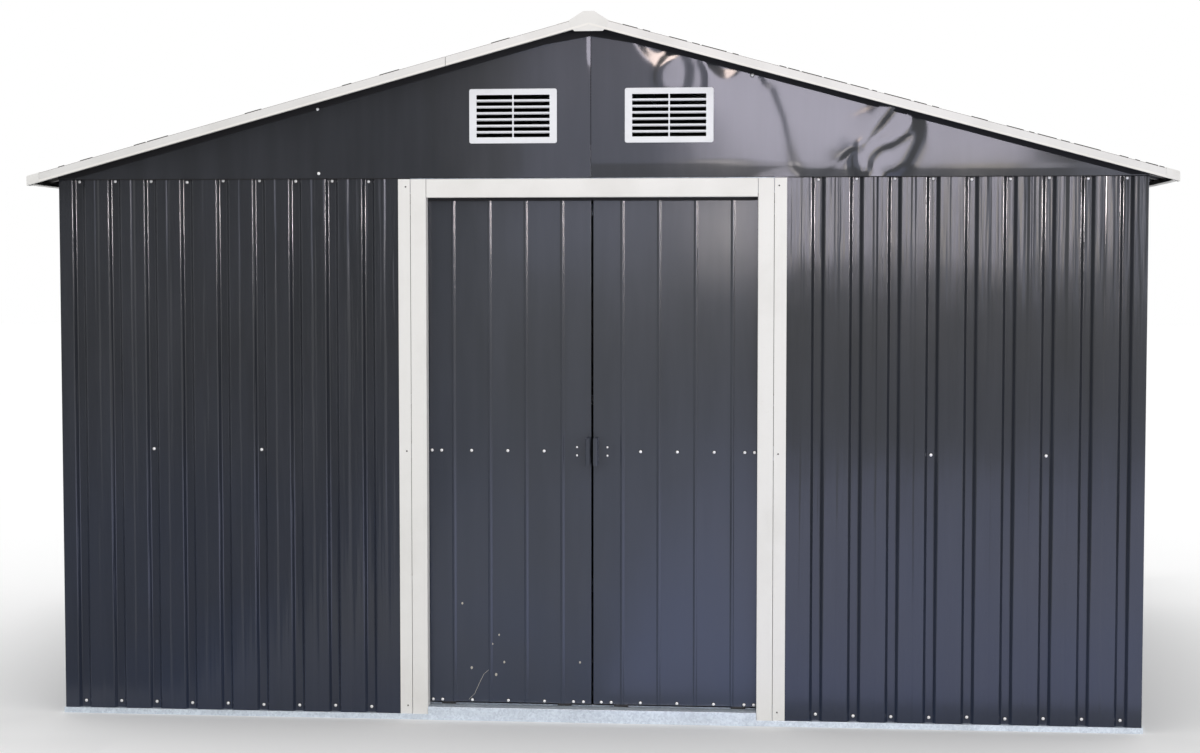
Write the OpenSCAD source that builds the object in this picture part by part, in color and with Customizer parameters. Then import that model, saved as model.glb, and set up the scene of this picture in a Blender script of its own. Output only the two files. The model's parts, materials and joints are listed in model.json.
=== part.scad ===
// Apex metal storage shed: corrugated steel walls and roof on light rails,
// with a pair of sliding doors in the front. X runs along the front, the front
// faces -Y, Z is up, and the origin is on the ground in the middle of the shed.

/* [Shed] */
// Width over the wall sheets
wall_w = 3120; // [2600:10:3900]
// Depth over the wall sheets
wall_d = 2360; // [1900:10:3000]
// Height of the line where the gables start
eave_z = 1570; // [1400:5:1900]
// Height that a gable keeps at the corners
gable_corner_h = 10.6; // [8:0.1:20]
// Slope of the roof in degrees
roof_pitch = 15.2; // [12:0.1:20]
// How far the roof reaches past the side walls
side_overhang = 70; // [55:1:90]
// How far the roof reaches past the front and rear walls
end_overhang = 70; // [50:1:100]

/* [Sheets] */
// Thickness of the sheets as modelled
sheet_t = 1; // [0.8:0.1:1.2]
// Distance from groove to groove
groove_pitch = 107.3; // [90:0.1:130]
// Depth of a groove
groove_depth = 12; // [9:0.5:14]
// Width of the flat bottom of a groove
groove_flat = 21; // [16:1:26]
// Run of each sloping side of a groove
groove_slope = 8.5; // [6:0.5:11]
// Distance from a corner to the first groove
corner_to_groove = 58; // [45:1:65]
// Distance from a post cover to the nearest groove
post_to_groove = 88; // [60:1:100]
// Width of the shallow bead along each raised strip
bead_w = 15; // [10:1:20]
// Depth of that bead
bead_depth = 1.5; // [1:0.1:2]
// How far the wall sheets reach up behind the gables
gable_lap = 8; // [5:0.5:9]
// Distance of the roof sheets' upper ends from the ridge line
roof_start = 12; // [8:1:20]

/* [Base] */
// Thickness of rails, tracks and trims
rail_t = 1.5; // [1.2:0.1:2]
// Height of the base rail that shows below the sheets
rail_face_h = 16; // [12:1:22]
// Height of the upstand that the sheets are screwed to
upstand_z = 60; // [50:1:80]
// Width of the base rail's foot, measured in from the wall face
foot_w = 70; // [68:1:90]
// How far the base rail stands proud of the sheets
rail_proud = 4; // [3:0.5:6]
// Diameter of the anchor holes in the foot
anchor_d = 9; // [7:0.5:12]
// Distance of the anchor holes from the wall face
anchor_inset = 45; // [35:1:55]
// Distance of the anchor holes from the front and rear walls
anchor_from_end = 280; // [150:10:400]

/* [Frame] */
// Height of the middle rails
mid_z = 783; // [700:1:900]
// Height of a middle rail's web
mid_rail_h = 40; // [30:1:60]
// Depth of the middle rails
mid_rail_depth = 16; // [12:0.5:18]
// Leg of the corner posts
corner_leg = 36; // [25:1:38]
// Height of the top rails
top_rail_h = 45; // [40:1:60]
// Width of a purlin
purlin_w = 40; // [30:1:60]
// Depth of a purlin and of the ridge beam's legs
purlin_depth = 42; // [30:1:60]

/* [Doorway] */
// Clear width between the door posts
door_way_w = 952; // [800:1:1200]
// Width of a door post's face
post_w = 45; // [35:1:60]
// Width of a post cover
post_cover_w = 36; // [25:1:45]
// Depth of a door post
post_depth = 32; // [25:1:33]
// How far the posts and the header stand proud of the sheets
post_proud = 3; // [2:0.5:5]
// Height of the header's face
header_h = 53; // [40:1:70]
// Gap between the header and the gables
header_gap = 3; // [2:0.5:6]
// Height of the sill
sill_h = 38; // [34:1:45]

/* [Doors] */
// Distance from the wall face back to a door's skin
door_set_back = 40; // [39:0.5:46]
// Half the gap where the doors meet
meeting_gap = 3; // [3:0.5:5]
// How far each door reaches behind its post
door_lap = 27; // [15:1:40]
// Depth of a door's folded edges
door_edge_d = 15; // [12:0.5:16]
// Gap between the sill and the doors
door_lift = 8; // [6:0.5:12]
// Height of the door above the header's lower edge
door_over = 14; // [8:1:14]
// Width of a door bead
door_bead_w = 11; // [8:1:14]
// How far a door bead stands out
door_bead_h = 3; // [2:0.5:3]
// Height of a door brace
brace_h = 30; // [24:1:40]
// How far each door slides
door_travel = 400; // [300:5:420]
// Width of the slot that the door guides run in
slot_w = 18; // [16:1:24]
// Clearance on each side of a door guide
slide_gap = 5; // [5:0.5:7]
// Small gap between a runner and the track it rests on
seat_gap = 0.3; // [0.2:0.1:0.5]
// Height of the guide slot's floor
slot_floor_z = 20; // [16:0.5:22]
// Gap between a door's top and the track's lip
lip_over = 7; // [6:0.5:10]
// Distance of a runner from the door's side edges
runner_inset = 60; // [30:1:100]
// Width of a runner
runner_w = 40; // [30:1:60]
// Height of a runner's block
runner_h = 12; // [8:1:14]
// Depth of the foot that holds a hanger on the door
hanger_foot = 7; // [5:0.5:8]
// Height of a hanger above the door
hanger_h = 26; // [22:1:30]
// Distance from the meeting edge to the first bead
door_bead_first = 84; // [75:1:95]
// Distance from the outer edge to the last bead
door_bead_last = 99; // [80:1:120]

/* [Handles] */
// Distance from a door's meeting edge to its handle's grip
handle_inset = 13; // [10:1:20]
// Width of a handle's plate
handle_w = 46; // [35:1:60]
// Height of a handle at the grip
handle_h = 80; // [60:1:100]
// Height of a handle at its far end
handle_end_h = 42; // [30:1:60]
// How far a grip stands out
grip_out = 28; // [20:1:30]
// Width of the grip's turned lip
grip_lip = 11; // [8:1:12]

/* [Roof trim] */
// Height of the fascias and eave trims
fascia_h = 28; // [22:1:36]
// Width of the fascias' top flange
fascia_flange = 32; // [25:1:40]
// Width of the fascias' lower lip
fascia_lip = 12; // [8:1:16]
// Half width of the ridge cap
ridge_cap_half = 90; // [80:1:110]
// Half width of the ridge cap's raised part
ridge_raise_half = 56; // [45:1:70]
// Half width of the ridge cap's flat top
ridge_flat_half = 15; // [10:1:20]
// Height of the ridge cap's top above the roof's apex
ridge_rise = 14; // [8:1:20]
// Width of a ridge end cap's lower edge
end_cap_low_w = 80; // [60:1:90]
// Width of a ridge end cap where its lower corners end
end_cap_mid_w = 96; // [92:1:104]
// Height of those corners
end_cap_corner_h = 7; // [4:1:12]
// How far a ridge end cap reaches below the fascias
end_cap_drop = 14; // [8:1:20]
// Length of an eave corner cap
corner_cap_l = 36; // [28:1:45]
// Small gap where pieces lie on one another along the slope
lay_gap = 0.1; // [0.05:0.05:0.3]

/* [Vents] */
// Width of a gable vent
vent_w = 252; // [200:1:300]
// Height of a gable vent
vent_h = 155; // [120:1:170]
// Distance from the middle of the shed to a vent's middle
vent_x = 223; // [180:1:260]
// Height of a vent's middle above the line where the gables start
vent_up = 175; // [140:1:190]
// Width of a vent's slotted field
vent_field_w = 210; // [160:1:230]
// Number of slots one above another
vent_rows = 7; // [5:1:8]
// Distance from slot to slot
vent_pitch = 17.9; // [12:0.1:19]
// Height of a slot
vent_slot_h = 10.6; // [7:0.1:11]
// Width of the bar down the middle of a vent
vent_bar = 5; // [4:0.5:10]
// Thickness of a vent
vent_t = 4; // [3:0.5:6]
// How far a vent's frame laps the hole in its gable at the sides
vent_lap = 26; // [22:1:30]
// How far it laps the hole above and below
vent_lap_v = 22; // [18:1:26]

/* [Hidden] */
$fn = 48;
shed_dark = "#3d3f45";
trim_white = "#e9e6df";
zinc = "#b8c0c8";
vent_white = "#f2f2f4";
runner_black = "#222426";

half_w = wall_w / 2;
half_d = wall_d / 2;
roof_half_w = half_w + side_overhang;
roof_half_d = half_d + end_overhang;
slope_tan = tan(roof_pitch);
slope_cos = cos(roof_pitch);
valley = groove_depth + sheet_t;
apex_z = eave_z + gable_corner_h + valley / slope_cos + half_w * slope_tan;
wall_top = eave_z + gable_lap;
anchor_span = wall_d - 2 * anchor_from_end;
post_foot_z = rail_face_h;
post_half = door_way_w / 2;
post_out = post_half + post_w;
cover_out = post_out + post_cover_w;
post_top = eave_z - header_gap;
header_low = post_top - header_h;
door_low = sill_h + door_lift;
door_top = header_low + door_over;
door_edge = post_half + door_lap;
door_face = door_set_back;
door_back = door_face + sheet_t;
hanger_front = door_back + 2;
slot_front = door_back + 3;
slot_back = slot_front + slot_w;
track_half = door_edge + door_travel + 20;
lip_z = door_top + lip_over;
lip_front = hanger_front + 11;
track_back = slot_back + 6;
// Gap between the front and rear top rails and the eave rails' ends
side_rail_gap = 3;
// Gap between a front sheet's edge and the door post that hides it
sheet_post_gap = 2;
// Heights over the roof sheets of the trims' flanges and of the caps that lie on them
flange_top = lay_gap + rail_t;
cap_low = flange_top + lay_gap;
// Half the gap between facing pieces at the ridge, and the sheets' gap at the eaves
ridge_gap = 0.5;
roof_len = (roof_half_w - rail_t) / slope_cos - ridge_gap;
// Half the length of the ridge beam and the purlins, which end just short of the gables
beam_half_l = half_d - lay_gap;

function roof_z(x) = apex_z - x * slope_tan;
function under_z(x) = roof_z(x) - valley / slope_cos - lay_gap;
function groove_xs(len, first, last) =
    let (n = max(1, round((len - first - last) / groove_pitch)))
    [for (i = [0:n]) first + i * (len - first - last) / n];
function groove_pts(c, lift) = [
    [c - groove_flat / 2 - groove_slope, lift],
    [c - groove_flat / 2, lift + groove_depth],
    [c + groove_flat / 2, lift + groove_depth],
    [c + groove_flat / 2 + groove_slope, lift]
];
function bead_pts(c, lift) = [
    [c - bead_w / 2, lift],
    [c - bead_w / 2 + bead_depth, lift + bead_depth],
    [c + bead_w / 2 - bead_depth, lift + bead_depth],
    [c + bead_w / 2, lift]
];
function sheet_line(len, xs, lift) = concat(
    [[0, lift]],
    [for (i = [0:len(xs) - 1]) each concat(
        groove_pts(xs[i], lift),
        i < len(xs) - 1 ? bead_pts((xs[i] + xs[i + 1]) / 2, lift) : [])],
    [[len, lift]]);
function turned(pts) = [for (i = [len(pts) - 1:-1:0]) pts[i]];

// A corrugated sheet: X runs across the grooves, Y goes in from the outer face
module sheet(width, height, xs) {
    linear_extrude(height)
        polygon(concat(sheet_line(width, xs, 0), turned(sheet_line(width, xs, sheet_t))));
}

// Places a front piece at the front wall, with Y going in from the wall face
module at_front() {
    translate([0, -half_d, 0]) children();
}

module at_rear() {
    rotate([0, 0, 180]) translate([0, -half_d, 0]) children();
}

module at_left() {
    rotate([0, 0, -90]) translate([0, -half_w, 0]) children();
}

module at_right() {
    rotate([0, 0, 90]) translate([0, -half_w, 0]) children();
}

// Right roof slope: X down the slope, Y along the ridge, Z out of the roof
module on_slope() {
    translate([0, 0, apex_z]) rotate([0, roof_pitch, 0]) children();
}

module to_left() {
    mirror([1, 0, 0]) children();
}

module both_sides() {
    children();
    to_left() children();
}

// A strip that follows the right roof slope, between two heights over it
module slope_strip(x0, x1, low, high, y0, y1) {
    translate([0, y1, 0]) rotate([90, 0, 0]) linear_extrude(y1 - y0)
        polygon([
            [x0, roof_z(x0) + low], [x1, roof_z(x1) + low],
            [x1, roof_z(x1) + high], [x0, roof_z(x0) + high]
        ]);
}

// Draws a profile with X going in from the wall and Y up, along the wall's X
module along(x0, x1) {
    translate([x0, 0, 0]) rotate([90, 0, 90]) linear_extrude(x1 - x0) children();
}

module bar(x0, x1, z0, z1) {
    translate([x0, z0]) square([x1 - x0, z1 - z0]);
}

module base_profile() {
    bar(-rail_proud, foot_w, 0, rail_t);
    bar(-rail_proud, rail_t - rail_proud, 0, rail_face_h);
    bar(-rail_proud, valley + rail_t, rail_face_h - rail_t, rail_face_h);
    bar(valley, valley + rail_t, rail_face_h - rail_t, upstand_z);
}

// A base rail with mitred ends, for a wall of the given length
module base_rail(wall_len) {
    half = wall_len / 2;
    intersection() {
        along(-half - rail_proud, half + rail_proud) base_profile();
        linear_extrude(upstand_z + 1)
            polygon([
                [-half - rail_proud, -rail_proud], [half + rail_proud, -rail_proud],
                [half - foot_w, foot_w], [foot_w - half, foot_w]
            ]);
    }
}

module anchored_rail() {
    difference() {
        base_rail(wall_d);
        for (x = [-anchor_span / 2, anchor_span / 2])
            translate([x, anchor_inset, -1]) cylinder(d = anchor_d, h = rail_t + 2);
    }
}

module base_rail_front() {
    color(zinc) at_front() difference() {
        base_rail(wall_w);
        translate([-post_half - rail_t, valley - 1, rail_face_h])
            cube([door_way_w + 2 * rail_t, rail_t + 2, upstand_z]);
    }
}

module base_rail_rear() {
    color(zinc) at_rear() base_rail(wall_w);
}

module base_rail_left() {
    color(zinc) at_left() anchored_rail();
}

module base_rail_right() {
    color(zinc) at_right() anchored_rail();
}

module slot_profile() {
    bar(slot_front - rail_t, slot_front, rail_t, sill_h);
    bar(slot_back, slot_back + rail_t, rail_t, sill_h);
    bar(slot_front - rail_t, slot_back + rail_t, slot_floor_z, slot_floor_z + rail_t);
}

module door_sill() {
    color(zinc) at_front() along(-post_half, post_half) {
        bar(-rail_proud - rail_t, -rail_proud, 0, sill_h);
        bar(-rail_proud - rail_t, slot_front, sill_h - rail_t, sill_h);
        slot_profile();
    }
}

module door_guide_channels() {
    color(zinc) at_front() both_sides() along(post_half, track_half) slot_profile();
}

module door_top_track() {
    color(zinc) at_front() along(-track_half, track_half) {
        bar(track_back, track_back + rail_t, lip_z, eave_z - rail_t);
        bar(lip_front, track_back + rail_t, lip_z, lip_z + rail_t);
    }
}

module front_sheet() {
    under_cover = post_cover_w - sheet_post_gap;
    len = half_w - cover_out + under_cover;
    xs = groove_xs(len, corner_to_groove, post_to_groove + under_cover);
    translate([-half_w, 0, rail_face_h]) sheet(len, wall_top - rail_face_h, xs);
}

module front_wall_left() {
    color(shed_dark) at_front() front_sheet();
}

module front_wall_right() {
    color(shed_dark) at_front() to_left() front_sheet();
}

module full_sheet(wall_len, trim) {
    xs = groove_xs(wall_len, corner_to_groove, corner_to_groove);
    translate([trim - wall_len / 2, 0, rail_face_h])
        sheet(wall_len - 2 * trim, wall_top - rail_face_h, [for (x = xs) x - trim]);
}

module left_wall() {
    color(shed_dark) at_left() full_sheet(wall_d, sheet_t);
}

module right_wall() {
    color(shed_dark) at_right() full_sheet(wall_d, sheet_t);
}

module rear_wall() {
    color(shed_dark) at_rear() full_sheet(wall_w, 0);
}

module corner_post() {
    translate([sheet_t - half_w, sheet_t - half_d, rail_face_h]) {
        cube([corner_leg, rail_t, eave_z - rail_face_h]);
        cube([rail_t, corner_leg, eave_z - rail_face_h]);
    }
}

module corner_posts() {
    color(zinc) both_sides() {
        corner_post();
        mirror([0, 1, 0]) corner_post();
    }
}

module door_post() {
    translate([post_half, 0, post_foot_z]) {
        linear_extrude(post_top - post_foot_z) {
            bar(0, post_w, -post_proud, rail_t - post_proud);
            bar(0, rail_t, -post_proud, valley);
            bar(post_w - rail_t, post_w, -post_proud, valley);
        }
        linear_extrude(eave_z - top_rail_h - post_foot_z)
            bar(0, rail_t, -post_proud, post_depth);
    }
}

module left_door_post() {
    color(trim_white) at_front() to_left() door_post();
}

module right_door_post() {
    color(trim_white) at_front() door_post();
}

module door_post_covers() {
    color(trim_white) at_front() both_sides()
        translate([post_out, -rail_t, post_foot_z])
            cube([post_cover_w, rail_t, post_top - post_foot_z]);
}

module door_header() {
    color(trim_white) at_front() along(-post_half, post_half) {
        bar(-post_proud, rail_t - post_proud, header_low, post_top);
        bar(-post_proud, valley, post_top - rail_t, post_top);
        bar(-post_proud, post_depth, header_low, header_low + rail_t);
    }
}

module top_rail(depth) {
    reach = half_w - valley - rail_t;
    along(-reach, reach) {
        bar(valley, valley + rail_t, eave_z - top_rail_h, eave_z);
        bar(valley, depth, eave_z - rail_t, eave_z);
    }
}

module top_rail_front() {
    color(zinc) at_front() top_rail(track_back + rail_t);
}

module top_rail_rear() {
    color(zinc) at_rear() top_rail(corner_leg);
}

module eave_rail() {
    out = half_w - valley;
    inner = out - purlin_w;
    low = eave_z - top_rail_h;
    reach = half_d - track_back - rail_t - side_rail_gap;
    translate([0, reach, 0]) rotate([90, 0, 0]) linear_extrude(2 * reach)
        polygon([
            [out, low], [out, under_z(out)], [inner, under_z(inner)],
            [inner, under_z(inner) - rail_t],
            [out - rail_t, under_z(out - rail_t) - rail_t],
            [out - rail_t, low + rail_t], [inner, low + rail_t], [inner, low]
        ]);
}

module eave_rails() {
    color(zinc) both_sides() eave_rail();
}

// A channel behind the sheets at half height
module mid_rail(x0, x1) {
    low = mid_z - mid_rail_h / 2;
    high = mid_z + mid_rail_h / 2;
    along(x0, x1) {
        bar(valley, valley + rail_t, low, high);
        bar(valley, valley + mid_rail_depth, low, low + rail_t);
        bar(valley, valley + mid_rail_depth, high - rail_t, high);
    }
}

module wall_mid_rails() {
    corner = sheet_t + corner_leg;
    color(zinc) {
        at_front() both_sides() mid_rail(post_out, half_w - corner);
        at_rear() mid_rail(corner - half_w, half_w - corner);
        at_left() mid_rail(corner - half_d, half_d - corner);
        at_right() mid_rail(corner - half_d, half_d - corner);
    }
}

// The right half of a gable, outside the wall sheets
module gable_half() {
    rotate([90, 0, 0]) linear_extrude(sheet_t) difference() {
        polygon([
            [0, eave_z], [half_w, eave_z],
            [half_w, under_z(half_w)], [0, under_z(0)]
        ]);
        translate([vent_x, eave_z + vent_up])
            square([vent_w - 2 * vent_lap, vent_h - 2 * vent_lap_v], center = true);
    }
}

module front_gable_left() {
    color(shed_dark) at_front() to_left() gable_half();
}

module front_gable_right() {
    color(shed_dark) at_front() gable_half();
}

module rear_gable() {
    color(shed_dark) at_rear() both_sides() gable_half();
}

module gable_vent() {
    field_h = vent_rows * vent_pitch;
    slot_w2 = (vent_field_w - vent_bar) / 2;
    translate([vent_x, -sheet_t, eave_z + vent_up]) rotate([90, 0, 0])
        linear_extrude(vent_t) difference() {
            square([vent_w, vent_h], center = true);
            for (row = [0:vent_rows - 1], x0 = [-vent_field_w / 2, vent_bar / 2])
                translate([x0, (row + 0.5) * vent_pitch - field_h / 2 - vent_slot_h / 2])
                    square([slot_w2, vent_slot_h]);
        }
}

module gable_vents() {
    color(vent_white) {
        at_front() both_sides() gable_vent();
        at_rear() both_sides() gable_vent();
    }
}

module roof_panel() {
    len = 2 * (roof_half_d - rail_t);
    on_slope() translate([roof_start, len / 2, 0])
        rotate([-90, 0, 0]) rotate([0, 90, 0])
            sheet(len, roof_len - roof_start, groove_xs(len, corner_to_groove, corner_to_groove));
}

module roof_panel_left() {
    color(shed_dark) to_left() roof_panel();
}

module roof_panel_right() {
    color(shed_dark) roof_panel();
}

module ridge_cap() {
    lift = cap_low;
    top = apex_z + ridge_rise;
    color(trim_white) translate([0, roof_half_d, 0]) rotate([90, 0, 0])
        linear_extrude(2 * roof_half_d)
            polygon([
                [-ridge_cap_half, roof_z(ridge_cap_half) + lift],
                [-ridge_raise_half, roof_z(ridge_raise_half) + lift],
                [-ridge_flat_half, top - rail_t],
                [ridge_flat_half, top - rail_t],
                [ridge_raise_half, roof_z(ridge_raise_half) + lift],
                [ridge_cap_half, roof_z(ridge_cap_half) + lift],
                [ridge_cap_half, roof_z(ridge_cap_half) + lift + rail_t],
                [ridge_raise_half, roof_z(ridge_raise_half) + lift + rail_t],
                [ridge_flat_half, top],
                [-ridge_flat_half, top],
                [-ridge_raise_half, roof_z(ridge_raise_half) + lift + rail_t],
                [-ridge_cap_half, roof_z(ridge_cap_half) + lift + rail_t]
            ]);
}

module ridge_beam() {
    half = purlin_w;
    wall = half - rail_t;
    low = under_z(half) - purlin_depth;
    color(zinc) translate([0, beam_half_l, 0]) rotate([90, 0, 0]) linear_extrude(2 * beam_half_l)
        polygon([
            [-half, low], [-half, under_z(half)], [0, under_z(0)], [half, under_z(half)],
            [half, low], [wall, low], [wall, under_z(wall) - rail_t],
            [0, under_z(0) - rail_t], [-wall, under_z(wall) - rail_t], [-wall, low]
        ]);
}

module roof_purlins() {
    start = roof_half_w / slope_cos / 2 - purlin_w / 2;
    top = -valley - lay_gap;
    low = top - purlin_depth;
    color(zinc) both_sides() on_slope() translate([start, beam_half_l, 0])
        rotate([90, 0, 0]) linear_extrude(2 * beam_half_l) {
            bar(0, purlin_w, top - rail_t, top);
            bar(0, rail_t, low, top);
            bar(purlin_w - rail_t, purlin_w, low, top);
        }
}

// The trim along the front edge of the right roof slope
module fascia() {
    front = -roof_half_d;
    slope_strip(ridge_gap, roof_half_w, -fascia_h, flange_top, front, front + rail_t);
    slope_strip(ridge_gap, roof_half_w, lay_gap, flange_top, front, front + fascia_flange);
    slope_strip(ridge_gap, roof_half_w, -fascia_h, rail_t - fascia_h, front, front + fascia_lip);
}

module front_fascia_left() {
    color(trim_white) to_left() fascia();
}

module front_fascia_right() {
    color(trim_white) fascia();
}

module rear_fascias() {
    color(trim_white) both_sides() mirror([0, 1, 0]) fascia();
}

module eave_trim() {
    reach = roof_half_d - fascia_flange;
    out = roof_half_w;
    slope_strip(out - rail_t, out, -fascia_h, flange_top, -reach, reach);
    slope_strip(out - fascia_flange, out, lay_gap, flange_top, -reach, reach);
    slope_strip(out - fascia_lip, out, -fascia_h, rail_t - fascia_h, -reach, reach);
}

module eave_trim_left() {
    color(trim_white) to_left() eave_trim();
}

module eave_trim_right() {
    color(trim_white) eave_trim();
}

module ridge_end_cap() {
    low = apex_z - fascia_h - end_cap_drop;
    half_low = end_cap_low_w / 2;
    half_mid = end_cap_mid_w / 2;
    top = apex_z + ridge_rise;
    shoulder = roof_z(ridge_raise_half) + cap_low + rail_t;
    translate([0, -roof_half_d, 0]) rotate([90, 0, 0]) linear_extrude(rail_t)
        polygon([
            [-half_low, low], [half_low, low], [half_mid, low + end_cap_corner_h],
            [ridge_raise_half, shoulder], [ridge_flat_half, top],
            [-ridge_flat_half, top], [-ridge_raise_half, shoulder],
            [-half_mid, low + end_cap_corner_h]
        ]);
}

module ridge_end_caps() {
    color(trim_white) {
        ridge_end_cap();
        mirror([0, 1, 0]) ridge_end_cap();
    }
}

module eave_corner_cap() {
    out = roof_half_w + rail_t;
    x0 = roof_half_w - corner_cap_l;
    front = -roof_half_d - rail_t;
    back = front + rail_t + corner_cap_l;
    high = cap_low + rail_t;
    slope_strip(x0, out, -fascia_h, high, front, front + rail_t);
    slope_strip(roof_half_w, out, -fascia_h, high, front, back);
    slope_strip(x0, out, cap_low, high, front, back);
}

module eave_corner_caps() {
    color(trim_white) both_sides() {
        eave_corner_cap();
        mirror([0, 1, 0]) eave_corner_cap();
    }
}

// Four beads stand at even steps across a door
function door_beads() =
    let (step = (door_edge - meeting_gap - door_bead_first - door_bead_last) / 3)
    [for (i = [0:3]) meeting_gap + door_bead_first + i * step];
function door_line(lift) = concat(
    [[meeting_gap, lift]],
    [for (c = door_beads()) each [
        [c - door_bead_w / 2, lift],
        [c - door_bead_w / 2 + door_bead_h, lift - door_bead_h],
        [c + door_bead_w / 2 - door_bead_h, lift - door_bead_h],
        [c + door_bead_w / 2, lift]
    ]],
    [[door_edge, lift]]);

module door_panel() {
    translate([0, 0, door_low]) linear_extrude(door_top - door_low) {
        polygon(concat(door_line(door_face), turned(door_line(door_back))));
        bar(meeting_gap, meeting_gap + sheet_t, door_face, door_back + door_edge_d);
        bar(door_edge - sheet_t, door_edge, door_face, door_back + door_edge_d);
    }
}

module door_braces() {
    depth = door_edge_d - 1;
    for (z = [door_low, mid_z - brace_h / 2, door_top - brace_h])
        translate([0, 0, z]) along(meeting_gap + sheet_t, door_edge - sheet_t) {
            bar(door_back, door_back + rail_t, 0, brace_h);
            bar(door_back, door_back + depth, 0, rail_t);
            bar(door_back, door_back + depth, brace_h - rail_t, brace_h);
        }
}

module door_handle() {
    grip = meeting_gap + handle_inset;
    translate([0, door_face, mid_z]) {
        rotate([90, 0, 0]) linear_extrude(rail_t)
            polygon([
                [grip, -handle_h / 2], [grip + handle_w, -handle_end_h / 2],
                [grip + handle_w, handle_end_h / 2], [grip, handle_h / 2]
            ]);
        translate([grip, -grip_out, -handle_h / 2]) cube([rail_t, grip_out, handle_h]);
        translate([grip - grip_lip, -grip_out, -handle_h / 2])
            cube([grip_lip + rail_t, rail_t, handle_h]);
    }
}

// A hanger that rests on the track's lip, and a guide that runs in the sill's slot
module door_runner() {
    block_back = track_back - slide_gap;
    guide_low = slot_floor_z + rail_t + slide_gap;
    translate([0, hanger_front, door_top]) {
        cube([runner_w, hanger_foot, rail_t]);
        cube([runner_w, rail_t, hanger_h]);
    }
    translate([runner_w / 8, hanger_front, lip_z + rail_t + seat_gap])
        cube([runner_w * 3 / 4, block_back - hanger_front, runner_h]);
    translate([0, slot_front + slide_gap, guide_low])
        cube([runner_w, slot_w - 2 * slide_gap, door_low - guide_low]);
}

module door_runners() {
    for (x = [meeting_gap + runner_inset, door_edge - runner_inset - runner_w])
        translate([x, 0, 0]) door_runner();
}

module left_door_panel() {
    color(shed_dark) at_front() to_left() door_panel();
}

module left_door_braces() {
    color(zinc) at_front() to_left() door_braces();
}

module left_door_handle() {
    color(shed_dark) at_front() to_left() door_handle();
}

module left_door_runners() {
    color(runner_black) at_front() to_left() door_runners();
}

module right_door_panel() {
    color(shed_dark) at_front() door_panel();
}

module right_door_braces() {
    color(zinc) at_front() door_braces();
}

module right_door_handle() {
    color(shed_dark) at_front() door_handle();
}

module right_door_runners() {
    color(runner_black) at_front() door_runners();
}

base_rail_front();
base_rail_rear();
base_rail_left();
base_rail_right();
door_sill();
door_guide_channels();
door_top_track();
front_wall_left();
front_wall_right();
left_wall();
right_wall();
rear_wall();
corner_posts();
left_door_post();
right_door_post();
door_post_covers();
door_header();
top_rail_front();
top_rail_rear();
eave_rails();
wall_mid_rails();
front_gable_left();
front_gable_right();
rear_gable();
gable_vents();
roof_panel_left();
roof_panel_right();
ridge_cap();
ridge_beam();
roof_purlins();
front_fascia_left();
front_fascia_right();
rear_fascias();
eave_trim_left();
eave_trim_right();
ridge_end_caps();
eave_corner_caps();
left_door_panel();
left_door_braces();
left_door_handle();
left_door_runners();
right_door_panel();
right_door_braces();
right_door_handle();
right_door_runners();
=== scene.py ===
import json
import math
import random

import bmesh
import bpy
from mathutils import Matrix, Vector, noise


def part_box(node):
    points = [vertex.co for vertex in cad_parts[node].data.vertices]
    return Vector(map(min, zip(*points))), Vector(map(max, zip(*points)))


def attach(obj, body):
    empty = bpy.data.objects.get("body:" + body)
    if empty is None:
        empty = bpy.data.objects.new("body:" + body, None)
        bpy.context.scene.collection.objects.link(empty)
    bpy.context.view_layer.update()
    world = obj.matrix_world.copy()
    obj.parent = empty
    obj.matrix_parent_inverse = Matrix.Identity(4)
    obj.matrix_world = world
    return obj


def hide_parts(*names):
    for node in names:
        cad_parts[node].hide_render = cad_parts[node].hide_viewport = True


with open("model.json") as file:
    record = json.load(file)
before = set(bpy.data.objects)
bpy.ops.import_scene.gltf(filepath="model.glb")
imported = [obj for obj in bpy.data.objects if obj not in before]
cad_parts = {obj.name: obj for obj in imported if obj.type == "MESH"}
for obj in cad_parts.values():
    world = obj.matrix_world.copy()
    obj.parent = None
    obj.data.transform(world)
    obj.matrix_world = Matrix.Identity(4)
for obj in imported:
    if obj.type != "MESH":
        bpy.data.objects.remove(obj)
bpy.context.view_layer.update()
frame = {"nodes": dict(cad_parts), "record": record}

# ---- sizes, in metres
SHEET_T = 0.001            # coated sheet of the walls, gables and roof
TRIM_T = 0.0015            # folded trims, posts, rails
GROOVE_PITCH = 0.1073      # corrugated sheets: grooves, and a shallow bead between each two
GROOVE_DEPTH = 0.012
GROOVE_FLAT = 0.021
GROOVE_SLOPE = 0.0085
BEAD_W = 0.015
BEAD_DEPTH = 0.0009
BEAD_RUN = 0.0045
CORNER_TO_GROOVE = 0.058
COVER_TO_GROOVE = 0.088
CREST_PLAY = 0.0008        # how far a fold may lie off true
SHEET_WAVE = 0.0012        # how far a flat may wave inwards
SHEET_BEND = 0.0034        # a roll-formed fold is rounded this far to each side
TRIM_BEND = 0.0016         # bend radius of a folded trim
DOOR_BEAD_W = 0.011        # four beads on each door, from its meeting edge outwards
DOOR_BEAD_H = 0.003
DOOR_BEAD_FIRST = 0.084
DOOR_BEAD_LAST = 0.099
MID_Z = 0.783              # height of the mid rail, the pulls and the screws beside them
SLOPE = math.radians(15.2)
RISE = math.tan(SLOPE)     # rise of the roof for each metre across
LAY_GAP = 0.0001           # pieces lie this far over one another along the slope
ROOF_START = 0.012
RIDGE_GAP = 0.0005
RIDGE_RAISE = 0.056        # half the ridge cap's raised part, and half its flat top
RIDGE_FLAT = 0.015
RIDGE_EDGE = 0.096         # just clear of the ridge cap
LIP = 0.012                # lower lip of the fascias and eave trims
FASCIA_DROP = 0.0245       # how far they hang below the roof line
HEM_H = 0.006              # hem along a fascia's lower edge
HEM_OUT = 0.0012
FASCIA_JOINT = 0.406       # where a fascia's two lengths meet
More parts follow.
